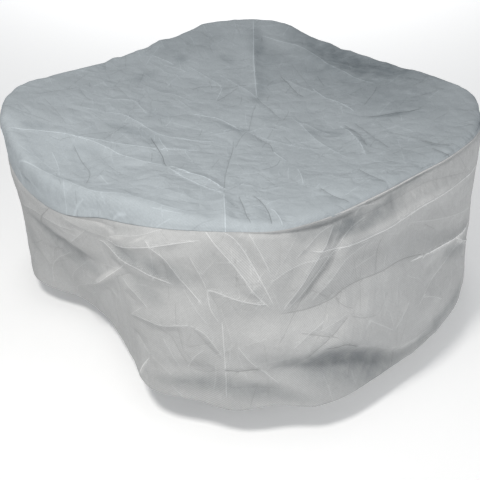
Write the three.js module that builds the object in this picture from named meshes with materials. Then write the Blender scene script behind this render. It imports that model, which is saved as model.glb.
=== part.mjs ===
// A fitted cover for a round garden table with four chairs, in the shape in which it hangs over the set.
// It is one round top panel and one long skirt, sewn together edge to edge; the set itself isn't part of it.
// Millimetres, +Z up. The origin is under the middle of the top panel, where the table carries it.
// Azimuths are degrees from +X towards +Y: 0 right, 90 back, 180 left, 270 front.
import * as THREE from 'three';

// Driving dimensions
const SHEET = 2; // thickness of the cloth solids
const SEAM_GAP = 0.3; // between the edges of the two sewn pieces
const SLACK_SHARE = 0.45; // the top lies nearly flat on the table inside this share of the rim's radius
const SLACK_RISE = 0.1; // the share of the rim's height reached there
const SHOULDER = 85; // the top starts to turn over this far inside its rim
const SHOULDER_DROP = 9; // and this far below the rim's height
const MEAN_RADIUS = 1000; // of the skirt, where one degree of azimuth is measured
const SKIRT_LENGTH = 690; // along the cloth, where one unit of drop is measured
const FOLD_END = 0.22; // a fold dies away over this share of its length at each end
const SEAM_CALM = 30; // folds die away over this distance from the seam

// Faceting: fine steps round the front, where the folds are, and coarse steps round the back
const STEP_RANGES = [
  { from: 190, to: 350, step: 2.5 },
  { from: 350, to: 550, step: 5 },
];
const TOP_STEPS = [2, 2, 2, 3]; // rows from the centre to the slack edge, shoulder, rim and seam
const SKIRT_STEPS = [5, 6]; // rows from the seam to the waist and the hem

// One row per section, round the cover. The rim is the top's outer edge, where the cloth turns down.
const SECTION_COLUMNS = [
  'azimuth', 'rimRadius', 'rimHeight', 'seamRadius', 'seamHeight', 'waistRadius', 'hemRadius', 'hemHeight',
];
const SECTIONS = [
  [2, 1035, 102, 1048, 50, 1045, 1050, -640],
  [14, 965, 92, 998, 10, 1012, 1035, -645],
  [30, 888, 68, 925, -20, 955, 995, -650],
  [48, 865, 60, 905, -30, 935, 975, -650],
  [64, 891, 70, 930, -15, 960, 1005, -650],
  [80, 997, 92, 1035, 10, 1060, 1095, -645],
  [97, 978, 97, 1025, 10, 1050, 1090, -645],
  [113, 874, 77, 920, -20, 955, 1015, -650],
  [135, 828, 60, 875, -45, 900, 960, -655],
  [155, 888, 76, 930, -45, 950, 985, -660],
  [172, 1016, 98, 1035, -45, 1030, 1030, -660],
  [186, 1026, 96, 1030, -70, 1012, 1000, -660],
  [198, 984, 50, 998, -100, 972, 974, -660],
  [210, 942, 8, 957, -115, 908, 832, -665],
  [222, 902, 16, 932, -97, 882, 800, -668],
  [234, 877, 40, 905, -45, 900, 862, -664],
  [243, 886, 56, 918, -15, 965, 957, -655],
  [252, 902, 66, 950, 22, 1025, 1112, -620],
  [262, 945, 72, 975, 50, 1055, 1138, -617],
  [269, 964, 77, 985, 58, 1070, 1165, -632],
  [277, 977, 79, 996, 62, 1082, 1160, -620],
  [285, 950, 80, 972, 64, 1062, 1170, -641],
  [302, 892, 81, 916, 70, 1020, 1106, -641],
  [318, 890, 82, 912, 73, 1000, 1084, -640],
  [332, 935, 90, 962, 74, 1010, 1075, -635],
  [345, 1000, 102, 1026, 78, 1040, 1065, -635],
];

// One row per main fold of the skirt. The path is [azimuth, drop] pairs, and drop runs from 0 at the seam to 1
// at the hem. A fold is a soft ridge of the given width that rises outward, or a trough where rise is below 0.
const SKIRT_FOLDS = {
  leftHollow: {
    width: 160, rise: -14,
    path: [[196, 0.34], [206, 0.35], [215, 0.33], [224, 0.37], [233, 0.39], [239, 0.34]],
  },
  leftTuck: {
    width: 140, rise: 8, path: [[242, 0.28], [236, 0.4], [229, 0.54], [220, 0.68], [212, 0.82]],
  },
  leftCrest: { width: 110, rise: 6, path: [[233, 0.2], [240, 0.25], [250, 0.32], [257, 0.38]] },
  leftRoll: {
    width: 110, rise: 7, path: [[233, 0.12], [240, 0.14], [246, 0.125], [253, 0.09], [262, 0.06]],
  },
  upperRecess: { width: 260, rise: -12, path: [[238, 0.3], [250, 0.33], [262, 0.34], [273, 0.3]] },
  chairEdge: {
    width: 110, rise: -7, path: [[259, 0.2], [262, 0.33], [265, 0.45], [266.5, 0.6], [267, 0.75]],
  },
  lowCrest: { width: 130, rise: 8, path: [[243, 0.58], [250, 0.56], [260, 0.55], [266, 0.68]] },
  veeLeftCrest: { width: 90, rise: 6, path: [[263.5, 0.03], [267, 0.165], [270, 0.25], [275.5, 0.42]] },
  veeRightCrest: { width: 80, rise: 7, path: [[291, 0.085], [285.5, 0.23], [278.5, 0.445]] },
  veeRightTrough: { width: 80, rise: -7, path: [[297, 0.13], [291.5, 0.2], [286.5, 0.3], [279.5, 0.44]] },
  seamHollow: {
    width: 90, rise: -11, path: [[271, 0.045], [280, 0.05], [290, 0.06], [302, 0.05], [314, 0.04]],
  },
  longCrest: {
    width: 150, rise: 9,
    path: [[273, 0.12], [283, 0.15], [292, 0.195], [305, 0.21], [322, 0.205], [344, 0.22]],
  },
  underCrest: {
    width: 190, rise: -10, path: [[284, 0.33], [296, 0.33], [310, 0.33], [324, 0.36], [342, 0.42]],
  },
  rightCrest: { width: 130, rise: 8, path: [[310, 0.45], [320, 0.475], [330, 0.53], [345, 0.61]] },
  rightLowHollow: { width: 120, rise: -8, path: [[312, 0.59], [322, 0.57], [332, 0.6], [342, 0.68]] },
  lowBelly: {
    width: 260, rise: 18,
    path: [[250, 0.62], [270, 0.6], [285, 0.6], [300, 0.68], [318, 0.78], [336, 0.78]],
  },
  lowHollow: {
    width: 140, rise: -22,
    path: [[271, 0.8], [279, 0.79], [288, 0.78], [296, 0.84], [304, 0.92], [314, 0.96]],
  },
  leftLowHollow: { width: 110, rise: -8, path: [[250, 0.86], [258, 0.82], [266, 0.82], [274, 0.88]] },
  backRightCrest: { width: 130, rise: 12, path: [[18, 0.06], [32, 0.35], [40, 0.85]] },
  backRightTrough: { width: 140, rise: -12, path: [[62, 0.08], [52, 0.4], [47, 0.92]] },
  backLeftCrest: { width: 130, rise: 12, path: [[108, 0.07], [120, 0.4], [127, 0.85]] },
  backLeftTrough: { width: 150, rise: -14, path: [[142, 0.1], [137, 0.5], [134, 0.95]] },
  leftSideCrest: { width: 120, rise: 10, path: [[163, 0.05], [154, 0.35], [147, 0.72]] },
  rightSideTrough: { width: 110, rise: -8, path: [[6, 0.1], [353, 0.4], [348, 0.8]] },
  leftSideTrough: { width: 110, rise: -8, path: [[174, 0.14], [183, 0.42], [190, 0.72]] },
};

// One row per main fold of the top panel. The path is [x, y] pairs in plan.
const TOP_FOLDS = {
  backRidge: { width: 150, rise: 7, path: [[70, 960], [70, 600], [78, 240]] },
  middleTrough: {
    width: 130, rise: -6,
    path: [[-220, 60], [-59, -4], [36, -109], [110, -173], [215, -246], [341, -309]],
  },
  leftRidge: { width: 130, rise: 6, path: [[-960, -215], [-733, -215], [-459, -250], [-143, -288]] },
  frontLeftRidge: { width: 110, rise: 5, path: [[-295, -440], [-206, -515], [-122, -583], [-50, -670]] },
  frontRidge: { width: 110, rise: 6, path: [[-60, -700], [-59, -760], [-50, -960]] },
  backRightRidge: {
    width: 140, rise: 6, path: [[99, 848], [299, 701], [425, 532], [551, 364], [636, 280]],
  },
  rightLeaf: { width: 110, rise: 5, path: [[430, -60], [478, -183], [499, -288], [509, -415]] },
  leftArc: { width: 110, rise: -5, path: [[-700, -270], [-648, -373], [-606, -457], [-602, -583]] },
};

const STRETCHES = TOP_STEPS.length + SKIRT_STEPS.length;
const SEAM_PARAMETER = TOP_STEPS.length / STRETCHES;
const ARC_PER_DEGREE = THREE.MathUtils.degToRad(1) * MEAN_RADIUS;

// Reads one column of the section table at any azimuth: a smooth closed curve through the rows.
function sectionAt(azimuth, column) {
  const key = SECTION_COLUMNS.indexOf(column);
  const count = SECTIONS.length;
  const row = (n) => {
    const turns = Math.floor(n / count);
    const values = SECTIONS[n - turns * count];
    return { azimuth: values[0] + 360 * turns, value: values[key] };
  };
  let n = -1;
  while (row(n + 1).azimuth <= azimuth) n += 1;
  const [before, start, end, after] = [row(n - 1), row(n), row(n + 1), row(n + 2)];
  const span = end.azimuth - start.azimuth;
  const startSlope = (end.value - before.value) / (end.azimuth - before.azimuth);
  const endSlope = (after.value - start.value) / (after.azimuth - start.azimuth);
  const t = (azimuth - start.azimuth) / span;
  const ease = t * t * (3 - 2 * t);
  const lead = t * (1 - t) * (1 - t) * span;
  const tail = t * t * (t - 1) * span;
  return start.value + ease * (end.value - start.value) + lead * startSlope + tail * endSlope;
}

// The outer face's profile at one azimuth, from the centre over the rim and the seam to the hem.
function profileAt(azimuth) {
  const at = (column) => sectionAt(azimuth, column);
  const angle = THREE.MathUtils.degToRad(azimuth);
  const direction = new THREE.Vector3(Math.cos(angle), Math.sin(angle), 0);
  const point = (radius, height) => direction.clone().multiplyScalar(radius).setZ(height + SHEET);
  return new THREE.CatmullRomCurve3([
    point(0, 0),
    point(SLACK_SHARE * at('rimRadius'), SLACK_RISE * at('rimHeight')),
    point(at('rimRadius') - SHOULDER, at('rimHeight') - SHOULDER_DROP),
    point(at('rimRadius'), at('rimHeight')),
    point(at('seamRadius'), at('seamHeight')),
    point(at('waistRadius'), (at('seamHeight') + at('hemHeight')) / 2),
    point(at('hemRadius'), at('hemHeight')),
  ], false, 'centripetal');
}

// The sum of the folds at one place of the flat cloth, where each fold's path is a line of 2D points.
function foldRise(folds, place) {
  let total = 0;
  for (const { line, length, width, rise } of folds) {
    let nearest = Infinity;
    let along = 0;
    let passed = 0;
    for (let n = 0; n + 1 < line.length; n += 1) {
      const step = line[n + 1].clone().sub(line[n]);
      const share = THREE.MathUtils.clamp(place.clone().sub(line[n]).dot(step) / step.lengthSq(), 0, 1);
      const distance = line[n].clone().addScaledVector(step, share).distanceTo(place);
      if (distance < nearest) {
        nearest = distance;
        along = (passed + share * step.length()) / length;
      }
      passed += step.length();
    }
    if (nearest < width / 2) {
      const end = THREE.MathUtils.smoothstep(Math.min(along, 1 - along), 0, FOLD_END);
      total += rise * end * Math.cos((Math.PI * nearest) / width) ** 2;
    }
  }
  return total;
}

// A fold table with its paths as 2D points in millimetres.
function layOut(folds, toPlace) {
  return Object.values(folds).map(({ path, width, rise }) => {
    const line = path.map(toPlace);
    const length = line.slice(1).reduce((sum, point, n) => sum + point.distanceTo(line[n]), 0);
    return { line, length, width, rise };
  });
}

const skirtPlace = ([azimuth, drop]) => new THREE.Vector2(
  THREE.MathUtils.euclideanModulo(azimuth - 90, 360) * ARC_PER_DEGREE, drop * SKIRT_LENGTH);
const skirtFolds = layOut(SKIRT_FOLDS, skirtPlace);
const topFolds = layOut(TOP_FOLDS, ([x, y]) => new THREE.Vector2(x, y));

// The grid: one column per azimuth, one row per parameter of the profile curve.
const azimuths = STEP_RANGES.flatMap(({ from, to, step }) => (
  Array.from({ length: (to - from) / step }, (_, n) => from + n * step)));
const parameters = [0];
[...TOP_STEPS, ...SKIRT_STEPS].forEach((count, stretch) => {
  for (let n = 1; n <= count; n += 1) parameters.push((stretch + n / count) / STRETCHES);
});
const seamRow = TOP_STEPS.reduce((sum, count) => sum + count, 0);

// The outward normal at each point of the rings, from its four neighbours.
function ringNormals(rings) {
  return rings.map((ring, row) => ring.map((_, column) => {
    if (row === 0) return new THREE.Vector3(0, 0, 1);
    const above = rings[row - 1][column];
    const below = rings[Math.min(row + 1, rings.length - 1)][column];
    const left = ring[(column + ring.length - 1) % ring.length];
    const right = ring[(column + 1) % ring.length];
    return below.clone().sub(above).cross(right.clone().sub(left)).normalize();
  }));
}

// The outer face as rings of points, one ring per row, with the folds raised along the normals.
function outerRings() {
  const profiles = azimuths.map((azimuth) => profileAt(azimuth % 360));
  const rings = parameters.map((parameter) => profiles.map((profile) => profile.getPoint(parameter)));
  const normals = ringNormals(rings);
  rings.forEach((ring, row) => ring.forEach((point, column) => {
    const drop = (parameters[row] - SEAM_PARAMETER) / (1 - SEAM_PARAMETER);
    const fromSeam = point.distanceTo(rings[seamRow][column]);
    const rise = drop > 0
      ? foldRise(skirtFolds, skirtPlace([azimuths[column], drop]))
      : foldRise(topFolds, new THREE.Vector2(point.x, point.y));
    const calm = THREE.MathUtils.smoothstep(fromSeam, 0, SEAM_CALM);
    point.addScaledVector(normals[row][column], row === 0 ? rise : rise * calm);
  }));
  return rings;
}

// A closed sheet between rings of outer points and the same rings moved in by the cloth's thickness.
// A first ring whose points all meet becomes one centre point on each face.
function sheetGeometry(rings, normals) {
  const positions = [];
  const triangles = [];
  const last = rings.length - 1;
  const meets = rings[0].every((point) => point.distanceTo(rings[0][0]) < SEAM_GAP);
  const index = [0, SHEET].map((depth) => rings.map((ring, row) => ring.map((point, column) => {
    if (!(meets && row === 0 && column > 0)) {
      positions.push(...point.clone().addScaledVector(normals[row][column], -depth).toArray());
    }
    return positions.length / 3 - 1;
  })));
  const [outer, inner] = index;
  const quad = (a, b, c, d) => triangles.push(a, b, c, a, c, d);
  rings[0].forEach((_, here) => {
    const next = (here + 1) % rings[0].length;
    if (meets) {
      triangles.push(outer[0][0], outer[1][here], outer[1][next]);
      triangles.push(inner[0][0], inner[1][next], inner[1][here]);
    } else {
      quad(outer[0][here], outer[0][next], inner[0][next], inner[0][here]);
    }
    for (let row = meets ? 1 : 0; row < last; row += 1) {
      quad(outer[row][here], outer[row + 1][here], outer[row + 1][next], outer[row][next]);
      quad(inner[row][here], inner[row][next], inner[row + 1][next], inner[row + 1][here]);
    }
    quad(outer[last][here], inner[last][here], inner[last][next], outer[last][next]);
  });
  const geometry = new THREE.BufferGeometry();
  geometry.setAttribute('position', new THREE.Float32BufferAttribute(positions, 3));
  geometry.setIndex(triangles);
  geometry.computeVertexNormals();
  return geometry;
}

// Moves one edge ring away from the seam line, within the cloth and at right angles to the seam.
function trimmed(rings, normals, edge, distance) {
  const result = rings.slice();
  const seam = rings[edge];
  result[edge] = seam.map((point, column) => {
    const before = seam[(column + seam.length - 1) % seam.length];
    const after = seam[(column + 1) % seam.length];
    const down = after.clone().sub(before).cross(normals[edge][column]).normalize();
    return point.clone().addScaledVector(down, -distance);
  });
  return result;
}

function clothPiece(name, rings, normals, color) {
  const material = new THREE.MeshStandardMaterial({ color, roughness: 0.85, metalness: 0 });
  const piece = new THREE.Mesh(sheetGeometry(rings, normals), material);
  piece.name = name;
  return piece;
}

const coverRings = outerRings();
const coverNormals = ringNormals(coverRings);
const topNormals = coverNormals.slice(0, seamRow + 1);
const skirtNormals = coverNormals.slice(seamRow);
const topRings = trimmed(coverRings.slice(0, seamRow + 1), topNormals, seamRow, SEAM_GAP / 2);
const skirtRings = trimmed(coverRings.slice(seamRow), skirtNormals, 0, -SEAM_GAP / 2);

const cover = new THREE.Group();
cover.add(clothPiece('top_panel', topRings, topNormals, 0xa2a8ac));
cover.add(clothPiece('skirt', skirtRings, skirtNormals, 0xaaadad));

export default cover;
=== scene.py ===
"""A fitted cloth cover, hanging as it does over a round garden table and four chairs.

The cover is two pieces of grey non-woven cloth: a round top panel and a long skirt sewn to its edge. The set
under it isn't part of it. Metres, +Z up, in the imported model's own frame: the origin is under the middle of
the top, and azimuths are degrees from +X towards +Y (0 right, 90 back, 180 left, 270 front).
"""

import math

import bpy
import numpy as np
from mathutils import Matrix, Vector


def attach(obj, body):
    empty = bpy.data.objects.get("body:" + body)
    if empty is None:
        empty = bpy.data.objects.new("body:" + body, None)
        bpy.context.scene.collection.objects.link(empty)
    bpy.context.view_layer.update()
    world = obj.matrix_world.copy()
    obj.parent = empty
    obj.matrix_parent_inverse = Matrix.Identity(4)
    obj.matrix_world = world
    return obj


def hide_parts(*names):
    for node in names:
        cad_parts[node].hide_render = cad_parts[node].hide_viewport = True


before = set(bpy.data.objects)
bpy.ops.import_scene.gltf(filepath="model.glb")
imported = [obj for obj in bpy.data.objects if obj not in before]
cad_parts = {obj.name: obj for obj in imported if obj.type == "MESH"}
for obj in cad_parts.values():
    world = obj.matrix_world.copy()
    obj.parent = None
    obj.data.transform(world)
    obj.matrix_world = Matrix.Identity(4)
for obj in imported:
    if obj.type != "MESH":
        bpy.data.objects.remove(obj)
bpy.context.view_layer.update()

MM = 0.001

# ---------------------------------------------------------------- the shape in which the cover hangs

CLOTH_LIFT = 2 * MM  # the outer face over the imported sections, which give the inner one
SLACK_SHARE = 0.45  # the top lies nearly flat inside this share of the rim's radius
SLACK_RISE = 0.1  # the share of the rim's height reached there
SHOULDER = 0.085  # the top starts to turn over this far inside its rim
SHOULDER_DROP = 0.009  # and this far below the rim's height
MEAN_RADIUS = 1.0  # of the skirt, where its arc is measured
SKIRT_LENGTH = 0.69  # from seam to hem along the cloth
FLOOR_HEIGHT = -0.77

# One row for each section: its azimuth, the radius and height of its rim and then of its seam, the radius of
# its waist, and the radius and height of its hem.
SECTIONS = np.array([
    (2, 1.035, 0.102, 1.048, 0.050, 1.045, 1.050, -0.640),
    (14, 0.965, 0.092, 0.998, 0.010, 1.012, 1.035, -0.645),
    (30, 0.888, 0.068, 0.925, -0.020, 0.955, 0.995, -0.650),
    (48, 0.865, 0.060, 0.905, -0.030, 0.935, 0.975, -0.650),
    (64, 0.891, 0.070, 0.930, -0.015, 0.960, 1.005, -0.650),
    (80, 0.997, 0.092, 1.035, 0.010, 1.060, 1.095, -0.645),
    (97, 0.978, 0.097, 1.025, 0.010, 1.050, 1.090, -0.645),
    (113, 0.874, 0.077, 0.920, -0.020, 0.955, 1.015, -0.650),
    (135, 0.828, 0.060, 0.875, -0.045, 0.900, 0.960, -0.655),
    (155, 0.888, 0.076, 0.930, -0.045, 0.950, 0.985, -0.660),
    (172, 1.016, 0.098, 1.035, -0.045, 1.030, 1.030, -0.660),
    (186, 1.026, 0.096, 1.030, -0.070, 1.012, 1.000, -0.660),
    (198, 0.984, 0.050, 0.998, -0.100, 0.972, 0.974, -0.660),
    (210, 0.942, 0.008, 0.957, -0.115, 0.908, 0.832, -0.665),
    (222, 0.902, 0.016, 0.932, -0.097, 0.882, 0.800, -0.668),
    (234, 0.877, 0.040, 0.905, -0.045, 0.900, 0.862, -0.664),
    (243, 0.886, 0.056, 0.918, -0.015, 0.965, 0.957, -0.655),
    (252, 0.902, 0.066, 0.950, 0.022, 1.025, 1.112, -0.620),
    (262, 0.945, 0.072, 0.975, 0.050, 1.055, 1.138, -0.617),
    (269, 0.964, 0.077, 0.985, 0.058, 1.070, 1.165, -0.632),
    (277, 0.977, 0.079, 0.996, 0.062, 1.082, 1.160, -0.620),
    (285, 0.950, 0.080, 0.972, 0.064, 1.062, 1.170, -0.641),
    (302, 0.892, 0.081, 0.916, 0.070, 1.020, 1.106, -0.641),
    (318, 0.890, 0.082, 0.912, 0.073, 1.000, 1.084, -0.640),
    (332, 0.935, 0.090, 0.962, 0.074, 1.010, 1.075, -0.635),
    (345, 1.000, 0.102, 1.026, 0.078, 1.040, 1.065, -0.635),
])
STRETCHES = 6  # of a section's profile, from the middle of the top to the hem
STRETCHES_ABOVE_SEAM = 4
SEAM_PARAMETER = STRETCHES_ABOVE_SEAM / STRETCHES


def smoothstep(value, low, high):
    """0 below low, 1 above high, and a smooth rise between them."""
    share = np.clip((value - low) / (high - low), 0, 1)
    return share * share * (3 - 2 * share)


def section_at(azimuth):
    """The seven section values at any azimuths, on a smooth closed curve through the table's rows."""
    turns = np.concatenate([SECTIONS[:, 0] - 360, SECTIONS[:, 0], SECTIONS[:, 0] + 360])
    values = np.concatenate([SECTIONS[:, 1:]] * 3)
    azimuth = np.mod(azimuth, 360)
    n = np.searchsorted(turns, azimuth, side="right") - 1
    span = (turns[n + 1] - turns[n])[..., None]
    start_slope = (values[n + 1] - values[n - 1]) / (turns[n + 1] - turns[n - 1])[..., None]
    end_slope = (values[n + 2] - values[n]) / (turns[n + 2] - turns[n])[..., None]
    t = (azimuth - turns[n])[..., None] / span
    blend = values[n] + t * t * (3 - 2 * t) * (values[n + 1] - values[n])
    return blend + t * (1 - t) ** 2 * span * start_slope + t * t * (t - 1) * span * end_slope


def profile_points(azimuth):
    """The seven points, radius and height, of the profile at each azimuth."""
    rim_r, rim_z, seam_r, seam_z, waist_r, hem_r, hem_z = np.moveaxis(section_at(azimuth), -1, 0)
    radius = [0 * rim_r, SLACK_SHARE * rim_r, rim_r - SHOULDER, rim_r, seam_r, waist_r, hem_r]
    waist_z = (seam_z + hem_z) / 2
    height = [0 * rim_z, SLACK_RISE * rim_z, rim_z - SHOULDER_DROP, rim_z, seam_z, waist_z, hem_z]
    return np.stack([np.stack(radius, -1), np.stack(height, -1) + CLOTH_LIFT], -1)


def base_surface(azimuth, parameter):
    """Points of the cover without its folds, on a centripetal curve through the profile at each azimuth."""
    points = profile_points(azimuth)
    before = 2 * points[..., :1, :] - points[..., 1:2, :]
    after = 2 * points[..., -1:, :] - points[..., -2:-1, :]
    points = np.concatenate([before, points, after], -2)
    stretch = np.clip(np.floor(parameter * STRETCHES).astype(int), 0, STRETCHES - 1)
    w = (parameter * STRETCHES - stretch)[..., None]

    def knot(k):
        return np.take_along_axis(points, (stretch + k)[..., None, None].repeat(2, -1), -2)[..., 0, :]

    def gap(a, b):
        return (((a - b) ** 2).sum(-1) ** 0.25)[..., None]

    p0, p1, p2, p3 = knot(0), knot(1), knot(2), knot(3)
    d0, d1, d2 = gap(p0, p1), gap(p1, p2), gap(p2, p3)
    t1 = ((p1 - p0) / d0 - (p2 - p0) / (d0 + d1) + (p2 - p1) / d1) * d1
    t2 = ((p2 - p1) / d1 - (p3 - p1) / (d1 + d2) + (p3 - p2) / d2) * d1
    curve = p1 + t1 * w + (3 * (p2 - p1) - 2 * t1 - t2) * w ** 2 + (2 * (p1 - p2) + t1 + t2) * w ** 3
    angle = np.radians(azimuth)
    return np.stack([curve[..., 0] * np.cos(angle), curve[..., 0] * np.sin(angle), curve[..., 1]], -1)


def grid_normals(points, outward):
    """Unit normals of a grid of points, turned to the outward side."""
    across = np.gradient(points, axis=1)
    down = np.gradient(points, axis=0)
    normal = np.cross(across, down)
    normal /= np.linalg.norm(normal, axis=-1, keepdims=True) + 1e-12
    facing = np.sign((normal * outward).sum(-1, keepdims=True))
    return normal * np.where(facing == 0, 1, facing)


# ---------------------------------------------------------------- noise and folds

SPACE_PRIMES = (73856093, 19349663, 83492791)  # these mix a cell's place into a number that looks random
FLAT_PRIMES = (7919, 104729)
SLOPES = 256  # random slopes for gradient noise,
CORNER_HEIGHTS = 512  # and heights for facets
NOISE_GAIN = 1.5  # brings gradient noise to about -1 to 1


def noise(points, cell, seed):
    """Smooth gradient noise in space, about -1 to 1, with features of the given cell size."""
    gradients = np.random.default_rng(seed).normal(size=(SLOPES, 3))
    gradients /= np.linalg.norm(gradients, axis=1, keepdims=True)
    scaled = points / cell
    base = np.floor(scaled).astype(np.int64)
    inside = scaled - base
    fade = inside ** 3 * (inside * (inside * 6 - 15) + 10)
    total = np.zeros(points.shape[:-1])
    for corner in np.ndindex(2, 2, 2):
        key = np.bitwise_xor.reduce((base + corner) * SPACE_PRIMES, axis=-1)
        slope = gradients[(key ^ (key >> 7)) % SLOPES]
        weight = np.prod(np.where(corner, fade, 1 - fade), axis=-1)
        total += weight * (slope * (inside - corner)).sum(-1)
    return total * NOISE_GAIN


GRID_SKEW = 0.366  # turns a grid of squares into one of even triangles
FACET_WARP = 0.55  # how far the facets' corners wander, in cells
WARP_CELL = 1.6  # and over how many cells they wander alike


def facets(flat, cell, seed):
    """Flat facets that meet in crisp creases, as in cloth that was packed folded: about -1 to 1."""
    spread = np.concatenate([flat / cell, np.zeros_like(flat[..., :1])], -1)
    shift = [noise(spread + offset, WARP_CELL, seed) for offset in (0, 40)]
    warped = spread[..., :2] + FACET_WARP * np.stack(shift, -1)
    skewed = warped + GRID_SKEW * warped.sum(-1, keepdims=True)
    corner = np.floor(skewed).astype(np.int64)
    across, down = np.moveaxis(skewed - corner, -1, 0)
    heights = np.random.default_rng(seed).uniform(-1, 1, CORNER_HEIGHTS)

    def corner_height(step_across, step_down):
        key = np.bitwise_xor.reduce((corner + [step_across, step_down]) * FLAT_PRIMES, axis=-1)
        return heights[(key ^ (key >> 9)) % CORNER_HEIGHTS]

    larger = np.maximum(across, down)
    smaller = np.minimum(across, down)
    side = np.where(across > down, corner_height(1, 0), corner_height(0, 1))
    return corner_height(0, 0) * (1 - larger) + side * (larger - smaller) + corner_height(1, 1) * smaller


CREST_ROUNDING = 2 * MM  # a crease's crest is this blunt
LINE_FULL = 6 * MM  # a crease line's mark of wear and painted highlight, or of painted shade in a trough, is held this far either side of it,
LINE_END = 11 * MM  # and is gone by here
STEPS_PER_SPAN = 8  # points of a dense line for each pair of its path's
END_WIDTH = 0.35  # a fold's width at its ends, as a share of its full width
LINE_FADE = 0.07  # the share of a crease line's length where each end dies


def smooth_line(path):
    """A dense line through a short list of 2D points, on a uniform Catmull-Rom curve."""
    knots = np.array(path, float)
    knots = np.concatenate([2 * knots[:1] - knots[1:2], knots, 2 * knots[-1:] - knots[-2:-1]])
    line = []
    for n in range(len(path) - 1):
        a, b, c, d = knots[n:n + 4]
        for step in range(STEPS_PER_SPAN):
            t = step / STEPS_PER_SPAN
            bend = (2 * a - 5 * b + 4 * c - d) * t * t + (3 * b - a - 3 * c + d) * t ** 3
            line.append((2 * b + (c - a) * t + bend) / 2)
    line.append(knots[-2])
    return np.array(line)


class Folds:
    """Over a grid of flat places: height, and the distance to the nearest crease line and its mark: pale wear
    and painted highlight above 0, painted shade below 0.
    """

    def __init__(self, flat):
        self.flat = flat
        self.height = np.zeros(flat.shape[:-1])
        self.line_offset = np.full(flat.shape[:-1], LINE_END)
        self.line_wear_and_painted_light = np.zeros(flat.shape[:-1])


def add_fold(folds, line, rise, left, right, sharp, fade, mark):
    """Adds one fold's height, and its line where it is the nearest, or the most strongly marked one close by.

    The fold rises along the line and falls to nothing at left and right metres either side of it, less far
    near its ends. sharp is 0 for a soft roll, 1 for two flat sides that meet in a crease, and more for sides
    that steepen towards it. fade is the share of the length where each end dies."""
    flat = folds.flat
    reach = max(left, right, LINE_END)
    low = line.min(0) - reach
    high = line.max(0) + reach
    near = np.nonzero(((flat > low) & (flat < high)).all(-1).ravel())[0]
    if len(near) == 0:
        return
    places = flat.reshape(-1, 2)[near]
    distance = np.full(len(near), np.inf)
    along = np.zeros(len(near))
    side = np.zeros(len(near))
    steps = np.diff(line, axis=0)
    lengths = np.linalg.norm(steps, axis=1)
    starts = np.concatenate([[0], np.cumsum(lengths)])
    for start, step, length, passed in zip(line, steps, lengths, starts):
        away = places - start
        share = np.clip(away @ step / length ** 2, 0, 1)
        offset = away - share[:, None] * step
        span = np.hypot(offset[:, 0], offset[:, 1])
        closer = span < distance
        distance[closer] = span[closer]
        along[closer] = (passed + share * length)[closer]
        side[closer] = (step[0] * away[:, 1] - step[1] * away[:, 0])[closer]
    along /= starts[-1]
    end = smoothstep(np.minimum(along, 1 - along), 0, fade)
    width = np.where(side > 0, left, right) * (END_WIDTH + (1 - END_WIDTH) * end)
    if sharp == 0:
        shape = np.cos(np.clip(distance / width, 0, 1) * math.pi / 2) ** 2
    else:
        rounded = np.sqrt(distance ** 2 + CREST_ROUNDING ** 2) - CREST_ROUNDING
        shape = np.clip(1 - rounded / width, 0, 1) ** sharp
    folds.height.reshape(-1)[near] += rise * end * shape
    # The line's mark: pale wear and painted highlight above 0, painted shade below 0.
    if mark != 0:
        stronger = (distance < LINE_FULL) & (abs(mark) > np.abs(folds.line_wear_and_painted_light.reshape(-1)[near]))
        nearest = stronger | (distance < np.abs(folds.line_offset.reshape(-1)[near]))
        spot = near[nearest]
        folds.line_offset.reshape(-1)[spot] = np.where(side > 0, distance, -distance)[nearest]
        end_faded_mark = mark * smoothstep(np.minimum(along, 1 - along), 0, LINE_FADE)
        folds.line_wear_and_painted_light.reshape(-1)[spot] = (end_faded_mark * (1 - smoothstep(distance, LINE_FULL, LINE_END)))[nearest]


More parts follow.
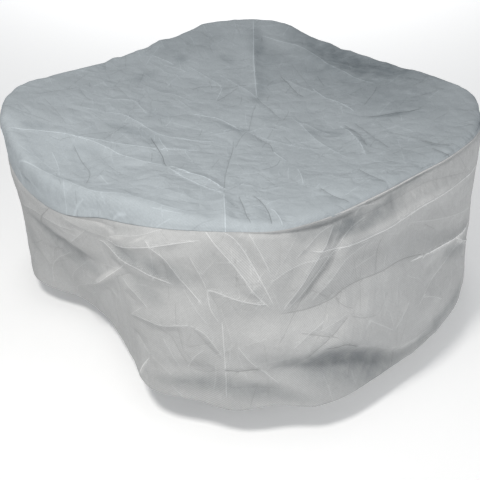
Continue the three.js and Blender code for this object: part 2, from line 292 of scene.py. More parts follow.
# Soft main folds of the skirt: rise and width in mm, then (azimuth, drop) along it. Drop runs from 0 at the
# seam to 1 at the hem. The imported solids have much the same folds, some of them higher or lower.
SKIRT_ROLLS = {
    "left_hollow": (-14, 160, [(196, 0.34), (206, 0.35), (215, 0.33), (224, 0.37), (233, 0.39),
        (239, 0.34)]),
    "left_tuck": (8, 140, [(242, 0.28), (236, 0.4), (229, 0.54), (220, 0.68), (212, 0.82)]),
    "left_crest": (6, 110, [(233, 0.2), (240, 0.25), (250, 0.32), (257, 0.38)]),
    "left_roll": (7, 110, [(233, 0.12), (240, 0.14), (246, 0.125), (253, 0.09), (262, 0.06)]),
    "upper_recess": (-12, 260, [(238, 0.3), (250, 0.33), (262, 0.34), (273, 0.3)]),
    "chair_edge": (-7, 110, [(259, 0.2), (262, 0.33), (265, 0.45), (266.5, 0.6), (267, 0.75)]),
    "low_crest": (8, 130, [(243, 0.58), (250, 0.56), (260, 0.55), (266, 0.68)]),
    "vee_left_crest": (6, 90, [(263.5, 0.03), (267, 0.165), (270, 0.25), (275.5, 0.42)]),
    "vee_right_crest": (7, 80, [(291, 0.085), (285.5, 0.23), (278.5, 0.445)]),
    "vee_right_trough": (-7, 80, [(297, 0.13), (291.5, 0.2), (286.5, 0.3), (279.5, 0.44)]),
    "seam_hollow": (-11, 90, [(271, 0.045), (280, 0.05), (290, 0.06), (302, 0.05), (314, 0.04)]),
    "long_crest": (9, 150, [(273, 0.12), (283, 0.15), (292, 0.195), (305, 0.21), (322, 0.205), (344, 0.22)]),
    "under_crest": (-3, 200, [(284, 0.33), (296, 0.33), (310, 0.33), (324, 0.36), (342, 0.42)]),
    "right_crest": (8, 130, [(310, 0.45), (320, 0.475), (330, 0.53), (345, 0.61)]),
    "right_low_hollow": (-8, 120, [(312, 0.59), (322, 0.57), (332, 0.6), (342, 0.68)]),
    "low_belly": (18, 260, [(250, 0.62), (270, 0.6), (285, 0.6), (300, 0.68), (318, 0.78), (336, 0.78)]),
    "low_hollow": (-15, 150, [(271, 0.8), (279, 0.79), (288, 0.78), (296, 0.84), (304, 0.92), (314, 0.96)]),
    "left_low_hollow": (-8, 110, [(250, 0.86), (258, 0.82), (266, 0.82), (274, 0.88)]),
    "back_right_crest": (12, 150, [(18, 0.06), (32, 0.35), (40, 0.85)]),
    "back_right_trough": (-12, 160, [(62, 0.08), (52, 0.4), (47, 0.92)]),
    "back_left_crest": (12, 150, [(108, 0.07), (120, 0.4), (127, 0.85)]),
    "back_left_trough": (-14, 170, [(142, 0.1), (137, 0.5), (134, 0.95)]),
    "left_side_crest": (10, 140, [(163, 0.05), (154, 0.35), (147, 0.72)]),
    "right_side_trough": (-8, 130, [(6, 0.1), (353, 0.4), (348, 0.8)]),
    "left_side_trough": (-8, 130, [(174, 0.14), (183, 0.42), (190, 0.72)]),
}

# Creases of the skirt: rise, reach to the left and to the right in mm as seen from outside going along it,
# sharpness, how strongly its line is marked (pale wear and painted highlight above 0, painted shade below 0,
# none at 0), then (azimuth, drop) along it.
SKIRT_CREASES = [
    # Left of the front chair, and along its left edge.
    (6, 20, 50, 1.2, 1.5, [(232.5, 0.19), (236, 0.21), (240, 0.235), (243.5, 0.265), (247, 0.285),
        (250.5, 0.315), (256, 0.35)]),
    (8, 60, 26, 1.1, 0.8, [(243, 0.28), (238.5, 0.37), (234.5, 0.45), (230.5, 0.53), (226, 0.61)]),
    (5, 60, 40, 1, 0.4, [(228, 0.57), (220, 0.68), (213, 0.83), (210, 0.95)]),
    (5, 40, 45, 1, 0.9, [(195, 0.32), (200, 0.25), (204.5, 0.195), (210, 0.165), (216, 0.14), (225, 0.14)]),
    (-6, 40, 50, 1, -0.2, [(208, 0.35), (214, 0.34), (218.5, 0.31), (224, 0.35), (230, 0.39)]),
    (-4, 22, 22, 1, -0.8, [(215.5, 0.02), (212, 0.12), (209, 0.2), (206.5, 0.3)]),
    (5, 45, 26, 1, 0.4, [(221, 0.03), (226, 0.085), (231, 0.13), (236, 0.165)]),
    (7, 40, 32, 1.1, 1.2, [(235, 0.175), (241, 0.18), (246, 0.165), (250, 0.15), (255, 0.12), (262, 0.085)]),
    (4, 30, 22, 1, 0.5, [(236, 0.16), (240, 0.115), (244.5, 0.095), (248, 0.075), (251, 0.04), (254, 0.0)]),
    (-3, 16, 20, 1, -0.5, [(222, 0.01), (233, 0.05), (240, 0.07)]),
    (4.5, 26, 26, 1, 1.1, [(249, 0.1), (251.5, 0.165), (254, 0.21), (257, 0.3), (260, 0.37),
        (262.5, 0.435)]),
    (6, 16, 40, 1.1, 0.7, [(259.5, 0.18), (261.5, 0.27), (263, 0.35), (264, 0.44), (266, 0.52)]),
    (5, 16, 40, 1.1, 0.9, [(266.4, 0.5), (266.9, 0.62), (267.2, 0.75), (267.5, 0.94)]),
    (5, 14, 45, 1.1, 1.1, [(263, 0.358), (266, 0.362), (270, 0.385), (275.6, 0.41)]),
    (6, 42, 26, 1, 0.9, [(243.5, 0.61), (246, 0.585), (250, 0.575), (254, 0.58), (257.5, 0.562),
        (260.5, 0.545)]),
    (5, 26, 34, 1, 0.7, [(260, 0.545), (263, 0.575), (265, 0.63), (266.8, 0.7)]),
    (-3, 14, 20, 1, -0.3, [(260.5, 0.55), (262.3, 0.6), (264, 0.65), (266.5, 0.71)]),
    (3, 20, 20, 1, 0.4, [(243.5, 0.62), (245.5, 0.575), (248.5, 0.51)]),
    (3.5, 22, 26, 1, 0.8, [(241.5, 0.37), (244, 0.405), (247.5, 0.455), (250, 0.505)]),
    (-4, 26, 26, 1, -0.3, [(242, 0.45), (244.5, 0.475), (247, 0.485)]),
    (-5, 32, 32, 1, -0.4, [(245, 0.7), (248, 0.74), (250.5, 0.765)]),
    (6, 26, 20, 1, 1.2, [(250.8, 0.82), (249.3, 0.9), (247.5, 1.02)]),
    # The folds that meet in a V over the front chair.
    (8, 40, 60, 1.1, 1.0, [(262.5, 0.0), (264.5, 0.09), (267, 0.165), (270, 0.25), (273, 0.35),
        (276, 0.43)]),
    (-6, 34, 34, 1.1, 0.9, [(266, 0.005), (268.5, 0.065), (270.5, 0.14), (272.7, 0.235), (275, 0.335),
        (276.7, 0.42)]),
    (4, 22, 26, 1, 0.7, [(271.6, 0.02), (273, 0.1), (274.5, 0.18), (276, 0.26)]),
    (3, 18, 22, 1, 0.7, [(281, 0.21), (284, 0.15), (287, 0.105), (291, 0.085)]),
    (8, 28, 45, 1.1, 1.0, [(291, 0.085), (289, 0.135), (285.5, 0.23), (281.5, 0.345), (278.2, 0.45)]),
    (-3, 20, 22, 1.1, 0.9, [(300, 0.115), (295, 0.14), (291.5, 0.2), (286.5, 0.3), (282.5, 0.38),
        (278.7, 0.45)]),
    (4, 36, 30, 1, 0.5, [(284, 0.43), (288, 0.36), (293, 0.28), (299, 0.243)]),
    # Over the front chair and right of it, down to the hem.
    (5, 14, 18, 1, 0.7, [(290.5, 0.035), (294, 0.02), (297, 0.03), (300, 0.05), (303, 0.075)]),
    (-6, 34, 34, 1, -0.3, [(290.5, 0.03), (296, 0.09), (300, 0.105), (308, 0.11), (320, 0.115),
        (328, 0.15), (336, 0.2), (343, 0.235)]),
    (7, 50, 44, 1.2, 1.3, [(283, 0.175), (288, 0.205), (293, 0.222), (305, 0.225), (320, 0.222),
        (335, 0.235), (347, 0.25)]),
    (7, 22, 70, 1.2, 2.2, [(312, 0.455), (318, 0.468), (323, 0.485), (328, 0.515), (333, 0.545),
        (339, 0.575), (347, 0.63)]),
    (7, 22, 26, 1.1, 1.6, [(332, 0.54), (336, 0.61), (340, 0.68), (346, 0.77)]),
    (-8, 50, 38, 1.1, -0.7, [(277, 0.46), (284, 0.455), (289, 0.443), (292.5, 0.415), (297, 0.41),
        (303, 0.42), (309, 0.42), (314, 0.44), (319, 0.47)]),
    (-7, 40, 70, 1.1, 0.7, [(312, 0.73), (318, 0.68), (324, 0.645), (332, 0.64), (339, 0.655)]),
    (9, 80, 20, 1, 0.2, [(273, 0.75), (278.5, 0.722), (283.5, 0.715), (287, 0.683), (291, 0.705),
        (295, 0.75), (299, 0.805), (303, 0.87), (309, 0.91), (320, 0.935)]),
    (-10, 30, 110, 1.2, -0.2, [(273, 0.79), (279, 0.765), (284, 0.765), (288, 0.75), (292, 0.775),
        (296, 0.82), (300, 0.875), (305, 0.93), (312, 0.955), (322, 0.98)]),
    (-4, 12, 16, 1, -1.0, [(286.5, 0.685), (289, 0.7), (291, 0.7), (294, 0.74)]),
    (-4, 22, 40, 1, -0.3, [(267.5, 0.87), (272, 0.873), (278, 0.9)]),
    (-4, 30, 30, 1, -0.3, [(260.5, 0.82), (263.5, 0.82), (266, 0.78)]),
    (4.5, 22, 26, 1, 0.7, [(269.5, 0.62), (272, 0.72), (274.7, 0.79), (277.5, 0.87)]),
    (-4, 12, 28, 1, -1.0, [(267, 0.775), (270, 0.778), (273.7, 0.768)]),
    (-5, 22, 24, 1, -0.7, [(292.5, 0.55), (288.5, 0.62), (286, 0.66), (282.5, 0.725)]),
    (-4, 18, 20, 1, -0.6, [(281.5, 0.57), (285, 0.6), (289.5, 0.645)]),
    (-3, 16, 16, 1, -0.5, [(290, 0.44), (291.5, 0.49), (294, 0.53)]),
    (-3, 16, 18, 1, -0.4, [(284.5, 0.37), (286.5, 0.4), (289, 0.44)]),
    # Small ones among them.
    (3.5, 24, 20, 1, 0.6, [(287, 0.53), (283, 0.585), (280, 0.66)]),
    (-3.5, 20, 20, 1, -0.5, [(293, 0.56), (296, 0.6), (299.5, 0.62)]),
    (3.5, 22, 22, 1, 0.5, [(297, 0.62), (300.5, 0.69), (304, 0.765)]),
    (3.5, 22, 24, 1, 0.5, [(310, 0.66), (307, 0.71), (304.5, 0.765)]),
    (4, 24, 26, 1, 0.5, [(315, 0.7), (319, 0.75), (324, 0.84)]),
    (-3.5, 20, 20, 1, -0.5, [(303.2, 0.25), (302, 0.32), (301.3, 0.41)]),
    (5, 46, 46, 1, 0.4, [(313, 0.27), (322, 0.33), (332, 0.4), (346, 0.5)]),
    (3.5, 22, 30, 1, 0.5, [(275.5, 0.31), (280, 0.25), (285, 0.23), (291, 0.25)]),
    (4, 26, 26, 1, 0.5, [(254, 0.66), (256, 0.73), (258, 0.82)]),
    (3.5, 20, 24, 1, 0.5, [(263, 0.68), (261, 0.74), (259.5, 0.82)]),
    # The left side.
    (6, 30, 34, 1, 0.5, [(219.5, 0.38), (213, 0.5), (209, 0.6), (206.5, 0.68), (204.5, 0.8), (203.5, 0.95)]),
    (-5, 26, 26, 1, -0.5, [(215.5, 0.4), (210.5, 0.47), (208, 0.55), (207.5, 0.65)]),
    (5, 34, 30, 1, 0.4, [(226, 0.4), (219, 0.55), (214.5, 0.68), (211, 0.82)]),
    (4, 24, 24, 1, 0.5, [(229, 0.12), (225, 0.2), (220.5, 0.29)]),
    # Round the back.
    (8, 40, 60, 1.1, 0, [(12, 0.06), (22, 0.22), (33, 0.42), (40, 0.66), (44, 0.92)]),
    (-6, 34, 40, 1.1, 0, [(30, 0.04), (38, 0.2), (45, 0.42)]),
    (6, 36, 44, 1.1, 0, [(62, 0.05), (57, 0.25), (53, 0.5), (51, 0.8)]),
    (5, 30, 50, 1, 0, [(66, 0.33), (75, 0.28), (84, 0.26)]),
    (5, 30, 50, 1, 0, [(95, 0.27), (104, 0.3), (114, 0.37)]),
    (8, 44, 56, 1.1, 0, [(106, 0.05), (114, 0.24), (121, 0.48), (126, 0.76), (128, 0.96)]),
    (-6, 36, 40, 1.1, 0, [(128, 0.06), (131, 0.3), (132, 0.56)]),
    (7, 36, 48, 1.1, 0, [(148, 0.05), (143, 0.28), (139, 0.56), (137, 0.86)]),
    (6, 34, 50, 1, 0, [(152, 0.42), (164, 0.36), (176, 0.33), (188, 0.35)]),
    (6, 40, 44, 1, 0, [(184, 0.08), (180, 0.3), (170, 0.52), (158, 0.72)]),
    (5, 30, 34, 1, 0, [(2, 0.32), (9, 0.38), (17, 0.47), (26, 0.62)]),
    (5, 30, 34, 1, 0, [(60, 0.7), (72, 0.61), (84, 0.57)]),
    (6, 24, 26, 1, 0, [(96, 0.5), (104, 0.7), (108, 0.9)]),
    (5, 26, 26, 1, 0, [(357, 0.12), (354, 0.35), (351, 0.6), (350, 0.88)]),
    # Low on the left side.
    (5, 40, 30, 1, 0.3, [(196, 0.55), (201, 0.62), (204, 0.7), (205, 0.82)]),
]

# Painted shade on the skirt: soft strokes, darker and bluer over its hollows, under its folds and under the
# seam's lip, and below 0 painted highlight on its crests and bellies. Columns: how dark and blue, or below 0
# how light, reach to the left and the right in mm as seen from outside going along it, and (azimuth, drop)
# along it.
SKIRT_PAINTED_SHADE = {
    "left_band": (0.55, 85, 80, [(194, 0.34), (205, 0.335), (213, 0.37), (221, 0.4), (229, 0.44),
        (237, 0.42)]),
    "back_left_shade": (0.45, 80, 80, [(143, 0.1), (137, 0.45), (134, 0.9)]),
    "back_right_shade": (0.4, 70, 80, [(62, 0.1), (53, 0.4), (47, 0.9)]),
    "back_shade": (0.3, 60, 70, [(98, 0.32), (106, 0.4), (112, 0.5)]),
    "left_side_shade": (0.35, 70, 70, [(166, 0.45), (180, 0.4), (192, 0.36)]),
    "left_low": (0.3, 90, 90, [(194, 0.5), (198, 0.58), (203, 0.66)]),
    "upper_patch": (0.6, 70, 85, [(233, 0.185), (239, 0.205), (244, 0.23), (250, 0.265), (257, 0.295),
        (264, 0.3)]),
    "upper_patch_low": (0.3, 60, 60, [(243, 0.33), (249, 0.41), (256, 0.48)]),
    "lip_hollow": (0.6, 34, 80, [(275, 0.05), (281, 0.06), (288, 0.075), (296, 0.07), (304, 0.06)]),
    "lip_hollow_low": (0.7, 70, 90, [(284, 0.14), (291, 0.14), (298, 0.14), (306, 0.12), (316, 0.1)]),
    "lip_hollow_right": (0.5, 16, 40, [(300, 0.05), (312, 0.045), (326, 0.035)]),
    "right_band": (0.18, 80, 80, [(292, 0.31), (300, 0.32), (307, 0.36), (315, 0.4), (324, 0.46),
        (333, 0.54), (342, 0.64)]),
    "right_band_low": (0.45, 50, 60, [(322, 0.54), (330, 0.61), (338, 0.69), (345, 0.77)]),
    "low_hollow": (0.88, 75, 170, [(274, 0.77), (280, 0.75), (286, 0.745), (291, 0.775), (296, 0.84),
        (300, 0.91), (305, 0.96), (312, 0.99)]),
    "low_hollow_left": (0.25, 60, 90, [(270, 0.73), (276, 0.72), (283, 0.72)]),
    "left_low_hollow": (0.6, 60, 60, [(249, 0.93), (256, 0.91), (262, 0.89), (266, 0.86), (272, 0.89),
        (280, 0.94), (288, 0.96)]),
    "right_hem": (0.5, 50, 60, [(304, 0.98), (314, 0.96), (324, 0.95), (334, 0.94), (343, 0.92)]),
    "leaf_light": (-0.6, 40, 18, [(243, 0.28), (238.5, 0.36), (234.5, 0.43), (230.5, 0.51), (226, 0.6)]),
    "crest_light": (-0.4, 8, 24, [(234, 0.21), (240, 0.245), (247, 0.295), (256, 0.355)]),
    "fork_light": (-0.6, 8, 16, [(312, 0.46), (323, 0.49), (333, 0.55), (347, 0.635)]),
    "fork_light_low": (-0.5, 8, 14, [(332, 0.55), (337, 0.64), (343, 0.74)]),
    "belly_light": (-0.3, 110, 140, [(262, 0.55), (275, 0.57), (290, 0.54), (304, 0.56)]),
    "seam_light": (0.1, 40, 40, [(214, 0.07), (230, 0.1), (245, 0.06), (262, 0.05)]),
    "vee_light": (-0.18, 30, 30, [(264.5, 0.04), (269, 0.17), (275.5, 0.38)]),
    "lip_light": (-1.1, 9, 10, [(270, 0.012), (290, 0.013), (310, 0.013), (330, 0.012), (352, 0.01)]),
    "seam_line": (1.3, 6, 5, [(190, 0.008), (214, 0.008), (230, 0.009), (246, 0.008), (268, 0.006)]),
    "long_light": (-0.4, 26, 24, [(278, 0.13), (286, 0.18), (300, 0.2), (320, 0.205), (344, 0.22)]),
    "front_up": (0.14, 90, 90, [(258, 0.12), (266, 0.15), (274, 0.13), (282, 0.11)]),
    "facet_1": (-0.45, 16, 18, [(231, 0.05), (236, 0.09), (240, 0.115)]),
    "facet_2": (-0.45, 14, 16, [(235, 0.165), (240, 0.13), (244, 0.1)]),
    "facet_3": (-0.4, 10, 14, [(244, 0.145), (247, 0.11), (250.5, 0.06)]),
    "facet_4": (-0.4, 12, 14, [(250.5, 0.84), (249.3, 0.91), (248.4, 0.99)]),
}

# Soft main folds of the top: rise and width in mm, then (x, y) in mm along it.
TOP_ROLLS = {
    "back_ridge": (7, 150, [(70, 960), (70, 600), (78, 240)]),
    "middle_trough": (-6, 130, [(-220, 60), (-59, -4), (36, -109), (110, -173), (215, -246), (341, -309)]),
    "left_ridge": (3.5, 140, [(-960, -215), (-733, -215), (-459, -250), (-143, -288)]),
    "front_left_ridge": (5, 110, [(-295, -440), (-206, -515), (-122, -583), (-50, -670)]),
    "front_ridge": (6, 110, [(-60, -700), (-59, -760), (-50, -960)]),
    "back_right_ridge": (6, 140, [(99, 848), (299, 701), (425, 532), (551, 364), (636, 280)]),
    "right_leaf": (5, 110, [(430, -60), (478, -183), (499, -288), (509, -415)]),
    "left_arc": (-3, 120, [(-700, -270), (-648, -373), (-606, -457), (-602, -583)]),
}

# Creases of the top, in the columns of SKIRT_CREASES, with left and right seen from above, and (x, y) in mm.
TOP_CREASES = [
    # The long line up the far half, its foot, and the hollow in the middle.
    (7, 60, 90, 1.2, 0.8, [(84, 200), (79, 250), (73, 400), (68, 600), (70, 800), (70, 1000)]),
    (-4, 34, 34, 1, -0.45, [(78, 240), (95, 180), (135, 110), (165, 45), (190, -15)]),
    (-3, 22, 22, 1, -0.4, [(190, -15), (205, 30), (222, 90)]),
    (-3, 26, 26, 1, -0.4, [(75, 150), (58, 70), (45, -40), (37, -105)]),
    (-6, 50, 60, 1.1, 0.9, [(-220, 60), (-112, 38), (-59, -4), (4, -78), (36, -109)]),
    (-4, 36, 40, 1.1, -0.6, [(36, -109), (90, -180), (128, -230), (140, -320)]),
    (3.5, 36, 44, 1, 0.6, [(36, -109), (110, -173), (215, -246), (341, -309)]),
    (2.5, 24, 24, 1, 0.5, [(20, -90), (-60, -130), (-150, -150)]),
    (-2.5, 22, 22, 1, -0.4, [(30, -100), (0, -180), (-20, -260)]),
    (2.5, 22, 24, 1, 0.5, [(40, -100), (110, -90), (190, -110)]),
    # In front of the middle, and right and far right of it.
    (-3.5, 22, 26, 1, -0.55, [(165, -385), (150, -420), (120, -450), (85, -480)]),
    (3, 22, 26, 1, 0.7, [(140, -300), (160, -350), (190, -400)]),
    (5, 55, 60, 1.1, 0.9, [(99, 848), (215, 764), (299, 701), (362, 627), (425, 532), (488, 448),
        (551, 364), (636, 280)]),
    (3, 26, 30, 1, 0.6, [(450, 550), (505, 520), (560, 470)]),
    (-4, 30, 30, 1, -0.7, [(194, 448), (236, 364), (267, 280), (299, 227)]),
    (3, 28, 30, 1, 0.5, [(215, 420), (270, 350), (330, 290), (362, 269)]),
    (4, 32, 40, 1.1, 0.9, [(340, 320), (362, 269), (394, 206), (446, 154), (488, 101), (515, 50)]),
    # Far left and left.
    (4, 30, 40, 1, 0.8, [(-440, 606), (-375, 565), (-323, 530)]),
    (3, 26, 32, 1, 0.6, [(-375, 520), (-320, 500), (-260, 470)]),
    (4, 34, 36, 1, 0.6, [(-101, 469), (-17, 364), (46, 280), (78, 217)]),
    (-3, 26, 26, 1, -0.6, [(-110, 190), (-60, 260), (-10, 330)]),
    (-2.5, 22, 22, 1, -0.6, [(-230, 300), (-150, 350), (-60, 330), (40, 370)]),
    (4, 30, 36, 1, 0.7, [(-627, 154), (-564, 143), (-490, 154), (-459, 112), (-417, 40)]),
    (4, 44, 50, 1, 0.7, [(-620, 17), (-522, 6), (-438, -57), (-354, -141), (-206, -194), (-90, -204)]),
    (5, 70, 70, 1.1, 0.8, [(-990, -225), (-838, -211), (-733, -215), (-585, -236), (-459, -250),
        (-312, -278), (-143, -288)]),
    (5, 50, 60, 1.1, 0.7, [(-733, -215), (-627, -246), (-543, -288), (-417, -373), (-291, -446)]),
    (-4, 28, 34, 1, -0.9, [(-385, -170), (-354, -246), (-322, -331), (-307, -415), (-291, -457)]),
    (3, 20, 24, 1, 0.6, [(-350, -170), (-330, -230), (-300, -300)]),
    # The front and the left front.
    (3.5, 30, 36, 1.1, 1.3, [(-285, -440), (-206, -515), (-122, -583), (-50, -670)]),
    (-3, 28, 34, 1, 0.8, [(-295, -455), (-200, -570), (-120, -650), (-60, -700)]),
    (7, 34, 50, 1.1, 0.7, [(-60, -700), (-59, -760), (-55, -860), (-50, -1000)]),
    (-4, 40, 40, 1, -0.5, [(-27, -190), (-32, -288), (-48, -415), (-59, -541), (-58, -700)]),
    (-3.5, 22, 24, 1, -0.7, [(-5, -720), (10, -800), (22, -880), (38, -970)]),
    (-4, 24, 30, 1, -0.8, [(50, -720), (85, -790), (104, -870), (112, -975)]),
    (4, 20, 34, 1, 0.7, [(110, -830), (130, -880), (150, -975)]),
    (-5, 44, 44, 1, -0.6, [(-700, -270), (-648, -373), (-606, -457), (-602, -583)]),
    (3.5, 36, 36, 1, 0.4, [(-600, -600), (-500, -640), (-400, -740)]),
    (3.5, 30, 34, 1, 0.4, [(-780, -330), (-740, -420), (-720, -500)]),
    # The right.
    (5, 30, 30, 1.1, 0.9, [(430, -60), (446, -88), (478, -183), (499, -288), (509, -415)]),
    (-4, 24, 28, 1, -0.6, [(455, -60), (495, -140), (515, -210), (525, -330)]),
    (-3, 26, 26, 1, -0.6, [(500, -50), (545, -165), (580, -270), (610, -380)]),
    (-4.5, 34, 34, 1, -1.1, [(560, -12), (620, -15), (700, -18), (800, -19)]),
    (-4, 28, 30, 1, -0.8, [(730, -320), (790, -365), (850, -410)]),
    (-4, 26, 28, 1, -0.8, [(770, -420), (800, -450), (845, -480)]),
    (-3.5, 28, 28, 1, -0.6, [(460, -540), (505, -620), (550, -690)]),
    (-3.5, 24, 26, 1, -0.7, [(300, -690), (345, -760), (400, -830)]),
    # Small ones across the top.
    (3.5, 28, 30, 1, 0.7, [(240, -25), (300, -60), (345, -120), (390, -160)]),
    (3.5, 30, 32, 1, 0.6, [(230, -480), (240, -560), (243, -640)]),
    (3.5, 34, 36, 1, 0.5, [(-260, 520), (-160, 430), (-90, 330), (-110, 200)]),
    (-3, 28, 28, 1, -0.5, [(560, 100), (610, 190), (640, 260)]),
    (3.5, 34, 36, 1, 0.5, [(-480, 330), (-380, 260), (-300, 240), (-220, 180)]),
    (3.5, 30, 30, 1, 0.6, [(230, 20), (270, -60), (330, -220), (440, -420)]),
    # Along the left front rim.
    (2, 60, 60, 1.1, 0.5, [(-929, -357), (-846, -431), (-697, -545), (-619, -619), (-533, -682),
        (-412, -743), (-258, -844), (-140, -886)]),
    # Over the far rim and the left one.
    (9, 60, 50, 1, 0.3, [(-600, 520), (-660, 590), (-730, 660)]),
    (10, 70, 50, 1, 0.3, [(-380, 680), (-420, 770), (-470, 860)]),
    (7, 60, 60, 1, 0.3, [(-170, 850), (-200, 930), (-220, 1010)]),
    (7, 60, 60, 1, 0.3, [(220, 830), (255, 900), (290, 980)]),
    (-8, 60, 60, 1, -0.3, [(450, 640), (520, 710), (590, 780)]),
    (-8, 50, 60, 1, -0.3, [(-860, 260), (-930, 290), (-1010, 320)]),
    # Small, at the left front.
    (2.5, 30, 34, 1, 0.3, [(-700, -520), (-690, -570), (-680, -640)]),
]

# Painted shade on the top, in soft strokes: darker towards its far and right edges and beside its folds, and
# below 0 painted highlight. In the columns of the skirt's strokes, as seen from above, and (x, y) in mm.
TOP_PAINTED_SHADE = {
    "beside_t1": (0.45, 6, 230, [(88, 215), (80, 420), (74, 700), (72, 860)]),
    "far_right_edge": (0.75, 130, 180, [(40, 1020), (250, 890), (420, 720), (560, 560), (760, 400),
        (900, 260), (980, 60)]),
    "right_far": (0.5, 280, 320, [(60, 720), (300, 600), (520, 380), (700, 150), (820, -60), (860, -260)]),
    "far_left": (0.25, 200, 200, [(-520, 560), (-280, 740), (-20, 860)]),
    "crown_right": (0.35, 60, 90, [(85, 1000), (88, 800), (92, 650), (95, 560)]),
    "crown_low": (0.3, 50, 60, [(90, 420), (92, 320), (85, 230), (60, 120)]),
    "far_left_spot": (0.35, 60, 60, [(-330, 640), (-300, 590), (-290, 520)]),
    "far_left_arc": (0.3, 60, 60, [(-560, 360), (-500, 360), (-430, 430), (-400, 480)]),
    "far_middle": (0.3, 60, 60, [(-120, 650), (-60, 600), (-20, 560)]),
    "left_band": (0.35, 60, 70, [(-640, -60), (-540, -90), (-430, -150), (-330, -220), (-240, -280)]),
    "middle_hollow": (0.35, 40, 60, [(-120, -20), (-50, -50), (20, -100), (60, -110)]),
    "middle_left": (0.2, 80, 80, [(-250, 60), (-350, 40), (-460, 60)]),
    "right_dash": (0.4, 50, 50, [(560, -30), (650, -35), (760, -30)]),
    "right_low": (0.25, 60, 60, [(230, -140), (330, -130), (430, -150), (520, -120)]),
    "left_dash": (0.3, 40, 50, [(-960, -165), (-880, -180), (-800, -170)]),
    "left_arc": (0.25, 40, 50, [(-720, -280), (-620, -290), (-560, -330)]),
    "left_light": (-0.15, 60, 60, [(-750, -200), (-620, -270), (-500, -340), (-380, -430), (-250, -530)]),
    "middle_light": (-0.25, 20, 24, [(-160, 40), (-80, 0), (0, -60)]),
}

# ---------------------------------------------------------------- grids of the two pieces

EDGE_CALM = 25 * MM  # folds die away over this distance from the seam
ROLL_FADE = 0.35  # the share of its length where each end of a soft fold dies,
CREASE_FADE = 0.3  # of a listed crease,
SCATTER_FADE = 0.45  # and of a scattered one
SCATTER_BOW = 0.03  # how far a scattered crease bends, as a share of its length
SCATTER_LINE_MARK = (0.05, 0.4)  # and how strongly its line is marked, as pale wear and painted highlight on a ridge and painted shade in a trough
SWELLS = [(3.5 * MM, 0.34), (1 * MM, 0.15)]  # height, and cell in metres
FACETS = [(4 * MM, 0.19), (2.4 * MM, 0.095), (1.2 * MM, 0.045)]

# How far, in (azimuth, mm) round the cover, the skirt's edge rolls out under the seam, and how far the top's
# edge hangs over it.
SEAM_ROLL = [(0, 1), (196, 0), (262, 0), (270, 1), (276, 4), (284, 5), (289.5, 5.5), (290.5, 1.5), (293, 6),
             (300, 6.5), (320, 6), (338, 5), (350, 3), (360, 1)]
SEAM_LAP = [(0, 2), (90, 2), (186, 2.5), (200, 4), (262, 4), (272, 2), (289.5, 1), (290.5, 7), (294, 4),
            (300, 1.5), (345, 1), (360, 2)]
PUCKER_CELL = 0.02  # the gathers along the seam are about this long


def bump_at(distance, middle, width):
    """A smooth bump, 1 at the middle."""
    return np.exp(-((distance - middle) / width) ** 2)


def around(table, azimuth):
    """A table of (azimuth, mm) pairs read at any azimuths, in metres."""
    turns, values = zip(*table)
    return np.interp(np.mod(azimuth, 360), turns, values) * MM


def relief(flat, base, seed):
    """The uneven lie of limp cloth: slow swells, and facets of three sizes."""
    total = 0
    for number, (height, size) in enumerate(SWELLS):
        total = total + height * noise(base, size, seed + number)
    for number, (height, size) in enumerate(FACETS):
        total = total + height * facets(flat, size, seed + number)
    return total


def scatter_creases(folds, count, low, high, seed, lean, spread, rise, length, reach):
    """Adds many creases at random places and directions, a few degrees of spread about the lean."""
    random = np.random.default_rng(seed)
    for _ in range(count):
        middle = random.uniform(low, high)
        angle = math.radians(random.normal(lean(middle), spread))
        span = random.uniform(*length)
        bow = random.uniform(-SCATTER_BOW, SCATTER_BOW) * span
        along = np.array([math.cos(angle), math.sin(angle)])
        across = np.array([-along[1], along[0]])
        line = smooth_line([middle - along * span / 2, middle + across * bow, middle + along * span / 2])
        sign = random.choice([-1, 1])
        left, right = random.uniform(*reach, size=2)
        size = random.uniform(*rise) * sign
        # A ridge's line is pale with wear and painted highlight, a trough's dark with painted shade.
        wear_and_painted_light = random.uniform(*SCATTER_LINE_MARK) * sign
        add_fold(folds, line, size, left, right, 1, SCATTER_FADE, wear_and_painted_light)


def add_rows(folds, rows, unit, fade, to_flat, mirrored):
    """Adds a fold for each row of rise, reach to the left and to the right in mm, sharpness, mark and path.

    The skirt is seen from outside, so there the left and right of its flat cloth are mirrored."""
    for rise, left, right, sharp, mark, path in rows:
        if mirrored:
            left, right = right, left
        line = smooth_line([to_flat(place) for place in path])
        add_fold(folds, line, rise * unit, left * MM, right * MM, sharp, fade, mark)


def add_placed_folds(folds, rolls, creases, to_flat, mirrored):
    """Adds a table of soft folds and one of creases."""
    rows = [(rise, width / 2, width / 2, 0, 0, path) for rise, width, path in rolls.values()]
    add_rows(folds, rows, MM, ROLL_FADE, to_flat, mirrored)
    add_rows(folds, creases, MM, CREASE_FADE, to_flat, mirrored)


def painted_shade_over(flat, shades, to_flat, mirrored):
    """Painted shade and highlight over a grid of flat places: 0 where none is painted, above 0 darker, below
    0 lighter.
    """
    strokes = Folds(flat)
    rows = [(depth, left, right, 0, 0, path) for depth, left, right, path in shades.values()]
    add_rows(strokes, rows, 1, ROLL_FADE, to_flat, mirrored)
    return strokes.height


